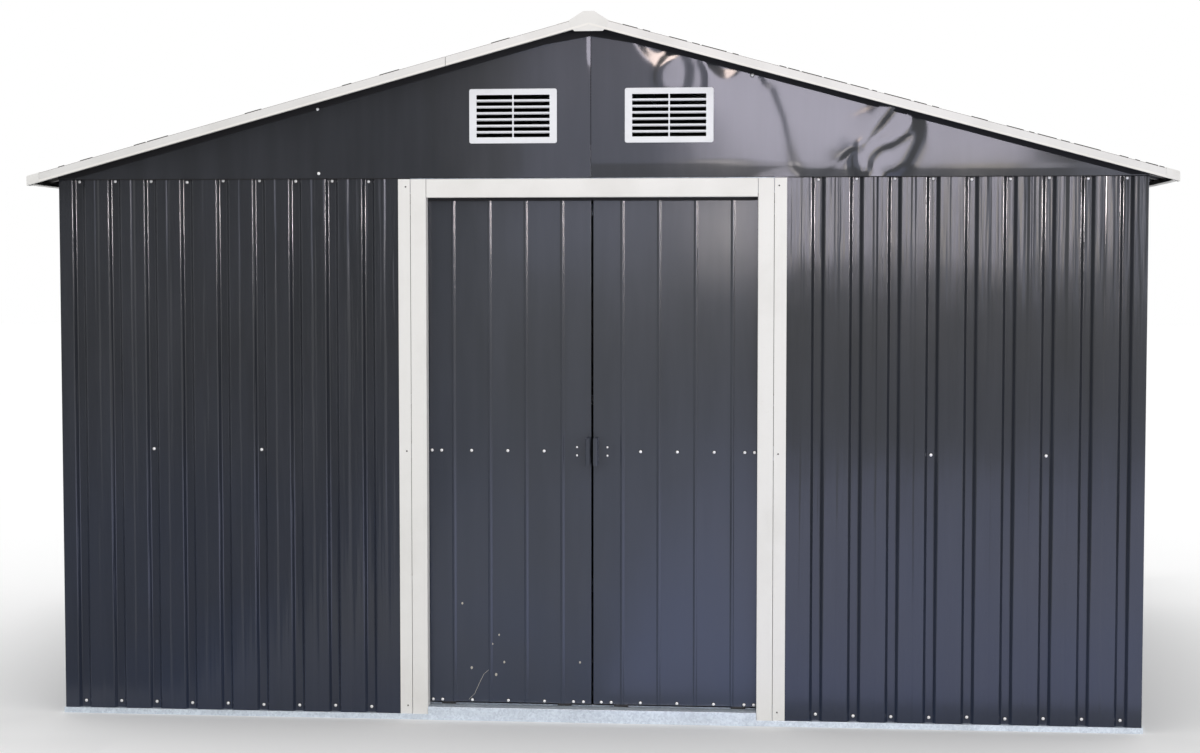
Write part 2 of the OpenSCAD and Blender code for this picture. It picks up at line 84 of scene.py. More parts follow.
FASCIA_GAP = 0.0014
CAP_L = 0.0375             # corner cap
VENT_W = 0.252             # vents: frame, hole in the gable, and the slots
VENT_T = 0.004
VENT_HOLE_W, VENT_HOLE_H = 0.214, 0.124
VENT_FIELD_W = 0.210
VENT_BAR = 0.0042
VENT_ROWS = 7
VENT_STEP = 0.0179
VENT_SLOT_H = 0.0127
GRIP_LIP = 0.0125          # the pull's folded edge
HEADER_GAP = 0.0012        # a hair gap beside each post, to the header and to its cover
SEAM_GAP = 0.0008          # half the gap where the halves of a gable meet
STRIP_LOW = 0.035          # the closure strips reach this far below the roof line, where their black paints the shadow under the fascia
STRIP_OUT = 0.006
SHADOW_TAPE_SHOWS = 0.0026        # how much black tape shows under a gable, painting the shadow line along its foot
SHADOW_TAPE_T = 0.0009
ROOF_SCREWS = (0.831, 1.563)   # down the slope, over the purlin and over the eave rail
GABLE_SCREW_Z = 1.584      # the row of screws along the foot of a gable
LAMP_Y = -9.18             # the lamps stand in one plane in front of the shed

X, Y, Z = Vector((1, 0, 0)), Vector((0, 1, 0)), Vector((0, 0, 1))
HANDS = ((1, "right"), (-1, "left"))


# ---- materials
def hex_colour(code):
    """sRGB hex to linear RGBA."""
    parts = [int(code[i:i + 2], 16) / 255 for i in (1, 3, 5)]
    return [c / 12.92 if c <= 0.04045 else ((c + 0.055) / 1.055) ** 2.4 for c in parts] + [1.0]


def add(tree, kind, inputs=None, **settings):
    """Adds one shader node. Inputs holds, for each named or numbered socket, a value, an sRGB hex
    colour, a socket, or a node whose first output in use is taken."""
    made = tree.nodes.new("ShaderNode" + kind)
    for name, value in settings.items():
        setattr(made, name, value)
    for name, value in (inputs or {}).items():
        if isinstance(value, bpy.types.Node):
            value = next(socket for socket in value.outputs if socket.enabled)
        if isinstance(value, bpy.types.NodeSocket):
            tree.links.new(value, made.inputs[name])
        else:
            made.inputs[name].default_value = hex_colour(value) if isinstance(value, str) else value
    return made


def new_material(name):
    """An empty material, its node tree, and the place of each point in metres."""
    made = bpy.data.materials.new(name)
    made.use_nodes = True
    tree = made.node_tree
    tree.nodes.clear()
    return made, tree, add(tree, "TexCoord").outputs["Object"]


def finish_material(tree, inputs):
    """Adds the Principled shader with its inputs, and the output."""
    add(tree, "OutputMaterial", {"Surface": add(tree, "BsdfPrincipled", inputs)})


def coated_steel(name, colour, streak, dust, gloss, ripple, along=None):
    """Coil-coated steel: a glossy polyester paint over sheet that never lies quite flat, so
    reflections waver. Towards the ground it turns bluish in patches, which is a painted
    reflection, and a little dust dulls its gloss there. Along names the axes that
    run down a roll-formed sheet, where the rolls leave faint lines about 11 mm apart."""
    made, tree, place = new_material(name)
    streaks = add(tree, "Mapping", {"Vector": place, "Scale": (1, 1, 0.12)})
    streaks = add(tree, "TexNoise", {"Vector": streaks, "Scale": 18.0, "Detail": 5.0})
    streaks = add(tree, "MapRange", {"Value": streaks, "From Min": 0.35, "From Max": 0.7})
    tint = add(tree, "Mix", {0: streaks, 6: colour, 7: streak}, data_type="RGBA")
    clouds = add(tree, "TexNoise", {"Vector": place, "Scale": 2.3, "Detail": 3.0})
    height = add(tree, "SeparateXYZ", {"Vector": place}).outputs["Z"]
    low = add(tree, "MapRange", {"Value": height, "From Min": 0.1, "From Max": 1.1,
                                 "To Min": 1.0, "To Max": 0.0})
    # Low patches: their bluish tint is a painted reflection, and they also roughen the paint as
    # dust does
    dust_and_painted_reflection = add(tree, "Math", {0: low, 1: clouds}, operation="MULTIPLY")
    dust_and_painted_reflection = add(tree, "Math", {0: dust_and_painted_reflection, 1: 1.4}, operation="MULTIPLY")
    tint = add(tree, "Mix", {0: dust_and_painted_reflection, 6: tint, 7: dust}, data_type="RGBA")
    rough = add(tree, "MapRange", {"Value": clouds, "From Min": 0.3, "From Max": 0.7,
                                   "To Min": gloss, "To Max": gloss + 0.04})
    rough = add(tree, "Math", {0: dust_and_painted_reflection, 1: 0.1, 2: rough}, operation="MULTIPLY_ADD")
    # Waves a hand's width long and a fraction of a millimetre high, as thin sheet has
    waves = add(tree, "TexNoise", {"Vector": place, "Scale": 5.5, "Detail": 1.5})
    bump = add(tree, "Bump", {"Height": waves, "Strength": 1.0, "Distance": ripple})
    if along:
        drawn = [0.03 if axis in along else 1.0 for axis in "XYZ"]
        lines = add(tree, "Mapping", {"Vector": place, "Scale": drawn})
        lines = add(tree, "TexNoise", {"Vector": lines, "Scale": 90.0, "Detail": 1.5})
        bump = add(tree, "Bump", {"Height": lines, "Strength": 1.0, "Distance": 0.001,
                                  "Normal": bump})
    grain = add(tree, "TexNoise", {"Vector": place, "Scale": 900.0, "Detail": 2.0})
    peel = add(tree, "Bump", {"Height": grain, "Strength": 0.06, "Distance": 0.0001,
                              "Normal": bump})
    finish_material(tree, {"Base Color": tint, "Roughness": rough, "IOR": 1.45, "Normal": peel})
    return made


def trim_paint(name, colour, soil):
    """Off-white coil-coated trim: satin, with faint grime gathered in patches and specks."""
    made, tree, place = new_material(name)
    clouds = add(tree, "TexNoise", {"Vector": place, "Scale": 7.0, "Detail": 6.0})
    grain = add(tree, "TexNoise", {"Vector": place, "Scale": 260.0, "Detail": 3.0})
    tint = colour
    for pattern, start, end, most in ((clouds, 0.45, 0.8, 0.35), (grain, 0.66, 0.74, 0.25)):
        grime = add(tree, "MapRange", {"Value": pattern, "From Min": start, "From Max": end,
                                       "To Max": most})
        tint = add(tree, "Mix", {0: grime, 6: tint, 7: soil}, data_type="RGBA")
    rough = add(tree, "MapRange", {"Value": clouds, "To Min": 0.34, "To Max": 0.52})
    bump = add(tree, "Bump", {"Height": clouds, "Strength": 0.5, "Distance": 0.0006})
    finish_material(tree, {"Base Color": tint, "Roughness": rough, "IOR": 1.5, "Normal": bump})
    return made


def galvanised(name):
    """Galvanised steel strip: pale bluish grey, with small crystals a few millimetres wide."""
    made, tree, place = new_material(name)
    cells = add(tree, "TexVoronoi", {"Vector": place, "Scale": 190.0}).outputs["Color"]
    shade = add(tree, "SeparateXYZ", {"Vector": cells})
    clouds = add(tree, "TexNoise", {"Vector": place, "Scale": 9.0, "Detail": 5.0})
    tint = add(tree, "Mix", {0: shade, 6: "#c3ced8", 7: "#d9e4ec"}, data_type="RGBA")
    stain = add(tree, "MapRange", {"Value": clouds, "From Min": 0.5, "From Max": 0.8,
                                   "To Max": 0.3})
    tint = add(tree, "Mix", {0: stain, 6: tint, 7: "#9aa1a8"}, data_type="RGBA")
    rough = add(tree, "MapRange", {"Value": shade.outputs["Y"], "To Min": 0.36, "To Max": 0.55})
    finish_material(tree, {"Base Color": tint, "Metallic": 0.6, "Roughness": rough})
    return made


def moulded_plastic(name, colour, soil, gloss):
    """Injection-moulded plastic: even colour, fine moulded grain, dust in patches."""
    made, tree, place = new_material(name)
    clouds = add(tree, "TexNoise", {"Vector": place, "Scale": 22.0, "Detail": 4.0})
    grain = add(tree, "TexNoise", {"Vector": place, "Scale": 1400.0, "Detail": 2.0})
    dust = add(tree, "MapRange", {"Value": clouds, "From Min": 0.5, "From Max": 0.85,
                                  "To Max": 0.3})
    tint = add(tree, "Mix", {0: dust, 6: colour, 7: soil}, data_type="RGBA")
    rough = add(tree, "MapRange", {"Value": clouds, "To Min": gloss, "To Max": gloss + 0.12})
    bump = add(tree, "Bump", {"Height": grain, "Strength": 0.3, "Distance": 0.0001})
    finish_material(tree, {"Base Color": tint, "Roughness": rough, "IOR": 1.46, "Normal": bump})
    return made


def zinc_screw(name):
    """Bright zinc-plated steel, as on self-drilling screws."""
    made, tree, place = new_material(name)
    tarnish = add(tree, "TexNoise", {"Vector": place, "Scale": 120.0, "Detail": 3.0})
    tint = add(tree, "Mix", {0: tarnish, 6: "#f4f4f4", 7: "#dfe0e2"}, data_type="RGBA")
    rough = add(tree, "MapRange", {"Value": tarnish, "To Min": 0.25, "To Max": 0.42})
    finish_material(tree, {"Base Color": tint, "Metallic": 0.15, "Roughness": rough})
    return made


# Paint, streaks, and the bluish colour towards the ground, which paints a reflection
WALL_TONES = ("#2d2f34", "#34363c", "#2b3346")
WALL_PAINT = coated_steel("anthracite_coated_sheet", *WALL_TONES, 0.085, 0.0006, "Z")
ROOF_PAINT = coated_steel("anthracite_coated_roof_sheet", *WALL_TONES, 0.085, 0.0006, "XZ")
GABLE_PAINT = coated_steel("anthracite_coated_flat_sheet", *WALL_TONES, 0.085, 0.0006)
# The third colour, bluish, paints a reflection towards the ground
DOOR_PAINT = coated_steel("anthracite_coated_door_sheet", "#363940", "#3c3f47", "#363f54",
                          0.11, 0.0005)
BACK_COAT = trim_paint("dark_backing_coat", "#35322f", "#292624")
TRIM_PAINT = trim_paint("off_white_coated_trim", "#eeedea", "#d3d1cb")
TRIM_SOILED = trim_paint("off_white_coated_fascia", "#e5e4e2", "#c6c4bf")
# A lighter copy of the trim paint for the fascias' hems: a painted highlight where the hem catches
# the light
TRIM_HEM_HIGHLIGHT = trim_paint("off_white_hem_painted_highlight", "#f1efea", "#dedad2")
# A darker paint for a fascia's top fold: painted shade
FOLD_SHADE = trim_paint("painted_shade_on_a_fold", "#8b8782", "#6f6b66")
ZINC = galvanised("galvanised_steel")
VENT_PLASTIC = moulded_plastic("white_moulded_vent", "#eef0f5", "#d2d3d6", 0.38)
CAP_PLASTIC = moulded_plastic("off_white_moulded_cap", "#e8e7e4", "#c9c7c2", 0.42)
RUNNER_PLASTIC = moulded_plastic("black_moulded_runner", "#1c1d1f", "#4a4947", 0.4)
SCREW_ZINC = zinc_screw("bright_zinc_plated_screw")
# Dark finish for the small post screws: painted shade
SHADED_SCREW = moulded_plastic("dark_screw_painted_shade", "#3a3835", "#57534d", 0.45)
WASHER_RUBBER = moulded_plastic("black_sealing_washer", "#17181a", "#2e2d2c", 0.6)
# Black foam, used for strips and lines that paint shadow under the roof, the gables and the header
FOAM_AS_SHADOW = moulded_plastic("black_foam_as_painted_shadow", "#0c0c0d", "#141415", 0.8)
SPLASH = moulded_plastic("dried_splashes", "#b9b4ab", "#9a958c", 0.7)


# ---- places, from the CAD boxes
FRONT_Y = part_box("front_wall_left")[0].y
REAR_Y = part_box("rear_wall")[1].y
SIDE_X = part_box("right_wall")[1].x
EAVE_Z, GABLE_TOP = (corner.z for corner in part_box("front_gable_left"))
APEX = GABLE_TOP + (GROOVE_DEPTH + SHEET_T) / math.cos(SLOPE) + LAY_GAP
ROOF_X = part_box("eave_trim_right")[1].x
ROOF_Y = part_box("front_fascia_right")[0].y
FLANGE_TOP = LAY_GAP + TRIM_T
CAP_LIFT = FLANGE_TOP + LAY_GAP + TRIM_T           # top of what lies over a flange
RETURN_Y = FRONT_Y + GROOVE_DEPTH + SHEET_T        # where the front sheets' grooves end
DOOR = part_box("right_door_panel")
DOOR_FACE = DOOR[0].y + DOOR_BEAD_H
VENT_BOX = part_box("gable_vents")


def roof_point(x, y, lift):
    """A point over or under the plane of the roof sheets' crowns."""
    return Vector((x, y, APEX - abs(x) * RISE + lift))


# ---- making pieces
def to_mesh(bm, name):
    """Turns a bmesh into a mesh, and frees it."""
    mesh = bpy.data.meshes.new(name)
    bm.to_mesh(mesh)
    bm.free()
    return mesh


def to_object(bm, name, finishes):
    """Turns a bmesh into an object with its finishes."""
    mesh = to_mesh(bm, name)
    for finish in finishes:
        mesh.materials.append(finish)
    made = bpy.data.objects.new(name, mesh)
    bpy.context.scene.collection.objects.link(made)
    return made


def to_piece(bm, name, finishes, stands_for=(), body="shed", angle=35):
    """Turns a bmesh into a piece that rides on a body."""
    piece = to_object(bm, name, finishes)
    piece.data.polygons.foreach_set("use_smooth", [True] * len(piece.data.polygons))
    piece.data.set_sharp_from_angle(angle=math.radians(angle))
    piece.modifiers.new("even_normals", "WEIGHTED_NORMAL").keep_sharp = True
    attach(piece, body)
    if stands_for:
        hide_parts(*stands_for)


def face_out(bm, outward):
    """Turns all the faces over if the one most square to outward looks the other way."""
    bm.normal_update()
    biggest = max(bm.faces, key=lambda f: f.calc_area() * abs(f.normal.dot(outward)))
    if biggest.normal.dot(outward) < 0:
        bmesh.ops.reverse_faces(bm, faces=bm.faces[:])


def round_off(bm, parts, radius, segments, affect="EDGES"):
    """Rounds edges, or the corners of a flat outline."""
    bmesh.ops.bevel(bm, geom=parts, offset=radius, offset_type="OFFSET", segments=segments,
                    profile=0.5, affect=affect, material=-1, clamp_overlap=True)


def strip(corners, run, outward, bend=0, segments=2):
    """A line of corners drawn out along run, its folds rounded, its faces looking outward."""
    bm = bmesh.new()
    verts = [bm.verts.new(c) for c in corners]
    edges = [bm.edges.new(pair) for pair in zip(verts, verts[1:])]
    drawn = bmesh.ops.extrude_edge_only(bm, edges=edges)["geom"]
    bmesh.ops.translate(bm, vec=run, verts=[g for g in drawn if isinstance(g, bmesh.types.BMVert)])
    face_out(bm, outward)
    folds = [e for e in bm.edges if len(e.link_faces) == 2]
    if folds and bend:
        round_off(bm, folds, bend, segments)
    return bm


def joined(bm, part):
    """Adds one bmesh to another and frees it."""
    mesh = to_mesh(part, "part")
    bm.from_mesh(mesh)
    bpy.data.meshes.remove(mesh)


def cut(bm, point, normal, drop=False):
    """Cuts the mesh at a plane; drop takes away what lies on the normal's side."""
    bmesh.ops.bisect_plane(bm, geom=bm.verts[:] + bm.edges[:] + bm.faces[:], dist=1e-6,
                           plane_co=point, plane_no=normal, clear_outer=drop)


def rows(bm, axis, low, high, count):
    """Cuts the mesh across an axis into even rows."""
    for i in range(1, count):
        cut(bm, axis * (low + (high - low) * i / count), axis)


def wave(point, scale, seed):
    """A slow wave between 0 and 1, as thin sheet lies in."""
    shift = Vector((seed * 7.31, seed * 3.17, seed * 5.73))
    return 0.5 + 0.5 * noise.noise(point * scale + shift)


def sag(bm, outward, amount, scale, seed):
    """Moves the faces in by up to an amount."""
    for v in bm.verts:
        v.co -= outward * (amount * wave(v.co, scale, seed))


def smooth_step(value, low, high):
    t = min(max((value - low) / (high - low), 0), 1)
    return t * t * (3 - 2 * t)


def solid(bm, thickness):
    """Gives open faces a thickness behind them."""
    return bmesh.ops.solidify(bm, geom=bm.faces[:], thickness=thickness)["geom"]


def thicken(bm, thickness):
    """Makes a sheet solid. Its inner faces take the second finish."""
    bmesh.ops.remove_doubles(bm, verts=bm.verts[:], dist=0.00003)
    for part in solid(bm, thickness):
        if isinstance(part, bmesh.types.BMFace):
            part.material_index = 1


def drop_faces(bm, gone):
    """Takes away the faces whose middle and normal meet a test."""
    bmesh.ops.delete(bm, geom=[f for f in bm.faces if gone(f.calc_center_median(), f.normal)],
                     context="FACES")


def soften(bm, width, segments=2):
    """Rounds the sharp edges of a closed solid."""
    bm.normal_update()
    sharp = [e for e in bm.edges if len(e.link_faces) == 2
             and e.calc_face_angle(0) > math.radians(60)]
    round_off(bm, sharp, width, segments)


def folded(name, finish, corners, run, outward, stands_for, seed, bend=TRIM_BEND, count=6,
           body="shed", thickness=TRIM_T, trim=None):
    """A folded trim: corners across it, drawn out along run."""
    run, outward = Vector(run), Vector(outward)
    bm = strip(corners, run, outward, bend)
    along = run.normalized()
    start = min(v.co.dot(along) for v in bm.verts)
    rows(bm, along, start, start + run.length, count)
    if trim:
        trim(bm)
    sag(bm, outward, 0.0005, 2.6, seed)
    thicken(bm, thickness)
    to_piece(bm, name, [finish, BACK_COAT, FOLD_SHADE], stands_for, body)


# ---- corrugated sheets
def groove_places(length, first, last):
    """Where the grooves lie along a sheet: evenly, as near the pitch as its ends allow."""
    count = max(1, round((length - first - last) / GROOVE_PITCH))
    return [first + i * (length - first - last) / count for i in range(count + 1)]


def pressed(middle, width, run, face, level):
    """Four corners of a groove or bead: a slope down from the face, a flat and a slope back."""
    start, end = middle - width / 2, middle + width / 2
    return [(start, face), (start + run, level), (end - run, level), (end, face)]


def sheet_corners(length, places, seed):
    """Corners of a corrugated sheet's outer face, along it and inwards. Each fold lies a hair
    off true, so neighbouring flats catch the light differently."""
    hand = random.Random(seed)
    beads = [(a + b) / 2 for a, b in zip(places, places[1:])]
    beads += [at for at in (places[0] - GROOVE_PITCH / 2, places[-1] + GROOVE_PITCH / 2)
              if BEAD_W < at < length - BEAD_W]
    corners = [(0, 0), (length, 0)]
    for at in places:
        corners += pressed(at, GROOVE_FLAT + 2 * GROOVE_SLOPE, GROOVE_SLOPE, 0, GROOVE_DEPTH)
    for at in beads:
        corners += pressed(at, BEAD_W, BEAD_RUN, 0, BEAD_DEPTH)
    corners.sort()
    return [(x, y + hand.uniform(0, CREST_PLAY) * (y < BEAD_DEPTH * 1.1) * held(x, length))
            for x, y in corners]


def held(x, length):
    """0 at the ends of a sheet, which lie on the corner posts, and 1 between them."""
    return smooth_step(min(x, length - x), 0.040, 0.060)


def corrugated(node, slot, length, run, places, to_world, count, seed):
    """A corrugated sheet. In its own frame X runs across the grooves, Y inwards, Z along."""
    flat = [(x, y, 0) for x, y in sheet_corners(length, places, seed)]
    bm = strip(flat, Vector((0, 0, run)), -Y, SHEET_BEND, 3)
    rows(bm, Z, 0, run, count)
    for v in bm.verts:
        crest = max(0, 1 - v.co.y / (GROOVE_DEPTH / 2))
        v.co.y += SHEET_WAVE * crest * held(v.co.x, length) * wave(v.co, 3.4, seed)
    thicken(bm, SHEET_T)
    bm.transform(to_world)
    finish = ROOF_PAINT if slot == "roof_dark" else WALL_PAINT
    to_piece(bm, node + "_sheet", [finish, BACK_COAT], [node])
    return [to_world @ Vector((p, GROOVE_DEPTH, 0)) for p in places]


def wall_sheets():
    """The five wall sheets. Gives which way each one faces, and where its grooves stand."""
    post, lapped = CORNER_TO_GROOVE, CORNER_TO_GROOVE - SHEET_T
    cover = COVER_TO_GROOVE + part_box("front_wall_left")[1].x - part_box("door_post_covers")[0].x
    made = []
    # Node, facing, its turn, the corner of its box it starts from, first and last groove, rows
    for seed, (node, facing, degrees, at_x, at_y, first, last, count) in enumerate((
            ("front_wall_left", -Y, 0, 0, 0, post, cover, 14),
            ("front_wall_right", -Y, 0, 0, 0, cover, post, 14),
            ("rear_wall", Y, 180, 1, 1, post, post, 12),
            ("left_wall", -X, -90, 0, 1, lapped, lapped, 12),
            ("right_wall", X, 90, 1, 0, lapped, lapped, 12)), start=1):
        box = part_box(node)
        size = box[1] - box[0]
        length = size.y if facing.x else size.x
        to_world = (Matrix.Translation((box[at_x].x, box[at_y].y, box[0].z))
                    @ Matrix.Rotation(math.radians(degrees), 4, "Z"))
        made.append((facing, corrugated(node, "wall_dark", length, size.z,
                                        groove_places(length, first, last), to_world, count,
                                        seed)))
    return made


def roof_sheets():
    """Both roof sheets. Gives each one's grooves at the ridge end, with the way down the slope."""
    low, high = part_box("roof_panel_right")
    length, slope_end = high.y - low.y, high.x / math.cos(SLOPE)
    places = groove_places(length, CORNER_TO_GROOVE, CORNER_TO_GROOVE)
    made = []
    for side, node, seed in ((1, "roof_panel_right", 6), (-1, "roof_panel_left", 7)):
        down = Vector((side * math.cos(SLOPE), 0, -math.sin(SLOPE)))
        inward = Vector((-side * math.sin(SLOPE), 0, -math.cos(SLOPE)))
        across = inward.cross(down)
        start = Vector((0, 0, APEX)) + down * ROOF_START - across * (length / 2)
        to_world = Matrix.Translation(start) @ Matrix((across, inward, down)).transposed().to_4x4()
        tops = corrugated(node, "roof_dark", length, slope_end - ROOF_START, places, to_world,
                          14, seed)
        made.append((-inward, down, tops))
    return made


# ---- gables
def crease(x, z, line, width, steep):
    """How near a point is to a line of points: 1 on it, falling off fast on its steep side
    (-1 is left of the line as it runs down, 1 is right) and slowly on the other."""
    here = Vector((x, z))
    a, b = min(zip(line, line[1:]), key=lambda pair: (here - closest_on(here, *pair)).length)
    nearest = (here - closest_on(here, a, b)).length
    way = Vector(b) - Vector(a)
    side = way.cross(here - Vector(a))
    spread = width * (1 + 3 * smooth_step(-side * steep / way.length, -0.001, 0.004))
    return math.exp(-(nearest / spread) ** 2)


def closest_on(point, a, b):
    a, b = Vector(a), Vector(b)
    along = b - a
    t = max(0, min(1, (point - a).dot(along) / along.length_squared))
    return a + along * t


# Creases in the right front gable: lines of x and height over the eave line from the top down,
# then width, height (below 0 is a valley) and steep side
GABLE_CREASES = (
    (((0.50, 0.24), (0.53, 0.16), (0.545, 0.09), (0.575, -0.03)), 0.022, -0.0013, 1),
    (((0.865, 0.23), (0.833, 0.18), (0.807, 0.146), (0.777, 0.112), (0.754, 0.090)),
     0.0145, 0.0033, 1),
    (((0.894, 0.127), (0.871, 0.108), (0.849, 0.095), (0.818, 0.085), (0.796, 0.067),
      (0.783, 0.048), (0.779, 0.021)), 0.010, 0.0021, 1),
    (((0.893, 0.200), (0.903, 0.165), (0.910, 0.134), (0.908, 0.104), (0.894, 0.074),
      (0.878, 0.043), (0.853, 0.017)), 0.023, 0.0042, 1),
    (((0.746, 0.181), (0.761, 0.192), (0.78, 0.196)), 0.010, -0.0008, -1),
    (((0.274, 0.345), (0.288, 0.305), (0.284, 0.262), (0.272, 0.228)), 0.010, 0.0007, -1),
    (((0.322, 0.330), (0.334, 0.290), (0.334, 0.250), (0.324, 0.226)), 0.011, 0.0009, -1),
)
# Where the edge under the roof leans back: middle, half width, reach below the edge
GABLE_CURLS = ((0.184, 0.050, 0.072), (0.372, 0.048, 0.066))


def dented_front_right(x, z):
    """Creased by handling: a loop over the screw, folds beside and over the vent, and two places
    where the edge under the roof curls back."""
    up = z - EAVE_Z
    loop = math.exp(-((x - 0.795) / 0.055) ** 2)
    foot = 0.045 - 0.017 * smooth_step(x, 0.30, 0.74)
    out = 0.046 * (min(up, foot) * (1 - loop) + foot * loop)
    edge = 0.724 + 9 * (up - 0.048) ** 2
    raised = smooth_step(x, edge, edge + 0.024) * (1 - smooth_step(x, edge + 0.024, edge + 0.10))
    out += 0.0021 * raised * (1 - smooth_step(up, 0.070, 0.125))
    for line, width, height, steep in GABLE_CREASES:
        out += height * crease(x, up, line, width, steep)
    left = 0.198 + 8 * (up - 0.283) ** 2
    right = 0.279 - 2.5 * (up - 0.310) ** 2
    bulge = smooth_step(x, left - 0.032, left) * (1 - min(max((x - left) / (right - left), 0), 1))
    out += 0.0017 * bulge * smooth_step(up, 0.23, 0.26) * (1 - smooth_step(up, 0.330, 0.352))
    below_edge = GABLE_TOP - EAVE_Z - x * RISE - up
    for middle, half, reach in GABLE_CURLS:
        inside = max(0, reach - below_edge - 0.038 * ((x - middle) / half) ** 2)
        out -= 0.064 * inside ** 2 / (inside + 0.004)
    return max(out, -0.0003)


def dented_front_left(x, z):
    """The edge at the seam leans back under the ridge."""
    leans = 0.115 * max(0, x + 0.0115) * smooth_step(z, 1.860, 1.925)
    return 0.0010 + 0.0006 * (1 + noise.noise((x * 5, z * 5, 3.3))) - leans


def dented_plainly(x, z):
    return 0.0007 * (1 + noise.noise((x * 4, z * 4, 8.1)))


def gable_half(side, face_y, facing, cell, dents):
    """Half a gable with its vent hole, its faces looking along facing."""
    vent_low, vent_high = VENT_BOX
    vent_x = vent_high.x - VENT_W / 2
    vent_z = (vent_low.z + vent_high.z) / 2
    half_w, half_h = VENT_HOLE_W / 2, VENT_HOLE_H / 2
    corner_z = GABLE_TOP - SIDE_X * RISE
    bm = bmesh.new()
    bm.faces.new([bm.verts.new((x, 0, z)) for x, z in (
        (0, EAVE_Z), (SIDE_X, EAVE_Z), (SIDE_X, corner_z), (0, GABLE_TOP))])
    rows(bm, X, 0, SIDE_X, round(SIDE_X / cell))
    rows(bm, Z, EAVE_Z, GABLE_TOP, round((GABLE_TOP - EAVE_Z) / cell))
    for at in (0.004, 0.008, 0.012, 0.024):
        cut(bm, X * at, X)
    for at, way in ((vent_x - half_w, X), (vent_x + half_w, X),
                    (vent_z - half_h, Z), (vent_z + half_h, Z)):
        cut(bm, way * at, way)
    drop_faces(bm, lambda middle, _: abs(middle.x - vent_x) < half_w
               and abs(middle.z - vent_z) < half_h)
    bmesh.ops.remove_doubles(bm, verts=bm.verts[:], dist=1e-5)
    for v in bm.verts:
        v.co.x *= side
        v.co.y = face_y + facing.y * dents(v.co.x, v.co.z)
        if abs(v.co.x) < 1e-6:
            v.co.x = side * SEAM_GAP * (facing.y < 0)
    face_out(bm, facing)
    return bm


def closure_and_shadow_strips():
    """Black foam strips that close the roof sheets' grooves over the gables. They hang below the
    fascias, lowest near the ridge, and their black is a painted shadow under the roof's overhang.
    """
    for end, y, facing in (("front", FRONT_Y - SHEET_T, -Y), ("rear", REAR_Y + SHEET_T, Y)):
        for side, word in HANDS:
            run = Vector((side * SIDE_X, 0, -SIDE_X * RISE))
            face_y = y + facing.y * STRIP_OUT
            bm = strip([roof_point(side * 0.0003, face_y, -STRIP_LOW),
                        roof_point(side * 0.0003, face_y, -GROOVE_DEPTH - 0.002)], run, facing)
            rows(bm, X, 0, side * SIDE_X, 24)
            for v in bm.verts:
                # Near the ridge the strip hangs 13 mm lower: painted shadow under the ridge end cap
                if roof_point(v.co.x, 0, -STRIP_LOW).z > v.co.z - 0.001:
                    v.co.z -= 0.013 * (1 - smooth_step(abs(v.co.x), 0.035, 0.095))
            sag(bm, Z, 0.0015, 9.0, 3)
            cut(bm, Z * (EAVE_Z + 0.002), -Z, drop=True)
            solid(bm, STRIP_OUT - 0.0005)
            soften(bm, 0.0012)
            to_piece(bm, "%s_closure_strip_%s" % (end, word), [FOAM_AS_SHADOW])


def gables():
    """The two halves of each gable."""
    for name, side, y, facing, cell, dents, node in (
            ("front_gable_left_sheet", -1, FRONT_Y - SHEET_T, -Y, 0.016, dented_front_left,
             "front_gable_left"),
            ("front_gable_right_sheet", 1, FRONT_Y - SHEET_T, -Y, 0.009, dented_front_right,
             "front_gable_right"),
            ("rear_gable_west_sheet", -1, REAR_Y + SHEET_T, Y, 0.04, dented_plainly, "rear_gable"),
            ("rear_gable_east_sheet", 1, REAR_Y + SHEET_T, Y, 0.04, dented_plainly, "rear_gable")):
        bm = gable_half(side, y, facing, cell, dents)
        thicken(bm, SHEET_T)
        to_piece(bm, name, [GABLE_PAINT, BACK_COAT], [node], angle=60)


def shadow_lines():
    """Black tape that shows as a line where each gable laps over the wall, and a black strip that
    hangs from the door header in front of the doors. Both paint the shadow lines under the gables
    and the header."""
    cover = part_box("door_post_covers")[1].x + 0.001
    header_low, header_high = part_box("door_header")
    lines = [("front_shadow_tape_right", -Y, FRONT_Y, cover, SIDE_X - 0.002, EAVE_Z, SHADOW_TAPE_SHOWS),
             ("front_shadow_tape_left", -Y, FRONT_Y, 0.002 - SIDE_X, -cover, EAVE_Z, SHADOW_TAPE_SHOWS),
             ("rear_shadow_tape", Y, REAR_Y, 0.002 - SIDE_X, SIDE_X - 0.002, EAVE_Z, SHADOW_TAPE_SHOWS),
             ("door_header_shadow_strip", -Y, header_high.y + 0.0002, header_low.x + 0.002,
              header_high.x - 0.002, header_low.z + 0.003, 0.012)]
    for name, facing, y, x0, x1, top, tall in lines:
        face_y = y + facing.y * SHADOW_TAPE_T
        bm = strip([(x0, face_y, top - tall), (x0, face_y, top)], X * (x1 - x0), facing)
        rows(bm, X, x0, x1, 30)
        for v in bm.verts:
            if v.co.z < top - tall / 2:
                v.co.z += 0.0008 * noise.noise(v.co * 21)
        solid(bm, SHADOW_TAPE_T)
        to_piece(bm, name, [FOAM_AS_SHADOW])


